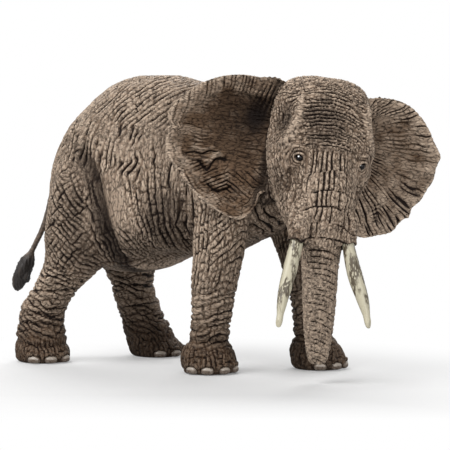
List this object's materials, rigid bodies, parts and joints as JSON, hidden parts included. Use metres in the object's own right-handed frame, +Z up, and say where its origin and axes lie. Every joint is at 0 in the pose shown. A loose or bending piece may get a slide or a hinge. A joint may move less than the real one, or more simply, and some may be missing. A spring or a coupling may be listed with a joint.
{
  "type": "toy elephant figure",
  "caption": "Solid vinyl toy elephant cow, walking, with spread ears, tusks and a hanging trunk.",
  "frame": {"origin": "on the floor, under the middle of the whole figure", "axes": "+Z up, +X the way the elephant walks, +Y to its left"},
  "size_m": [0.1304, 0.0656, 0.085],
  "materials": {
    "hide_vinyl": "sculpted wrinkled vinyl, dark brown wash in the folds and pale dry-brushed ridges, matt",
    "ear_vinyl": "fine wrinkled vinyl, brown wash, lighter edges, matt",
    "ivory_vinyl": "cream paint with a speckled olive-brown wash, satin",
    "tail_vinyl": "brown-grey cord with a near-black tuft, matt"
  },
  "bodies": {
    "root": {"torso": "hide_vinyl", "head": "hide_vinyl", "right_ear": "ear_vinyl", "left_ear": "ear_vinyl", "right_tusk": "ivory_vinyl", "left_tusk": "ivory_vinyl", "tail": "tail_vinyl", "front_right_leg": "hide_vinyl", "front_left_leg": "hide_vinyl", "rear_right_leg": "hide_vinyl", "rear_left_leg": "hide_vinyl"}
  },
  "joints": []
}
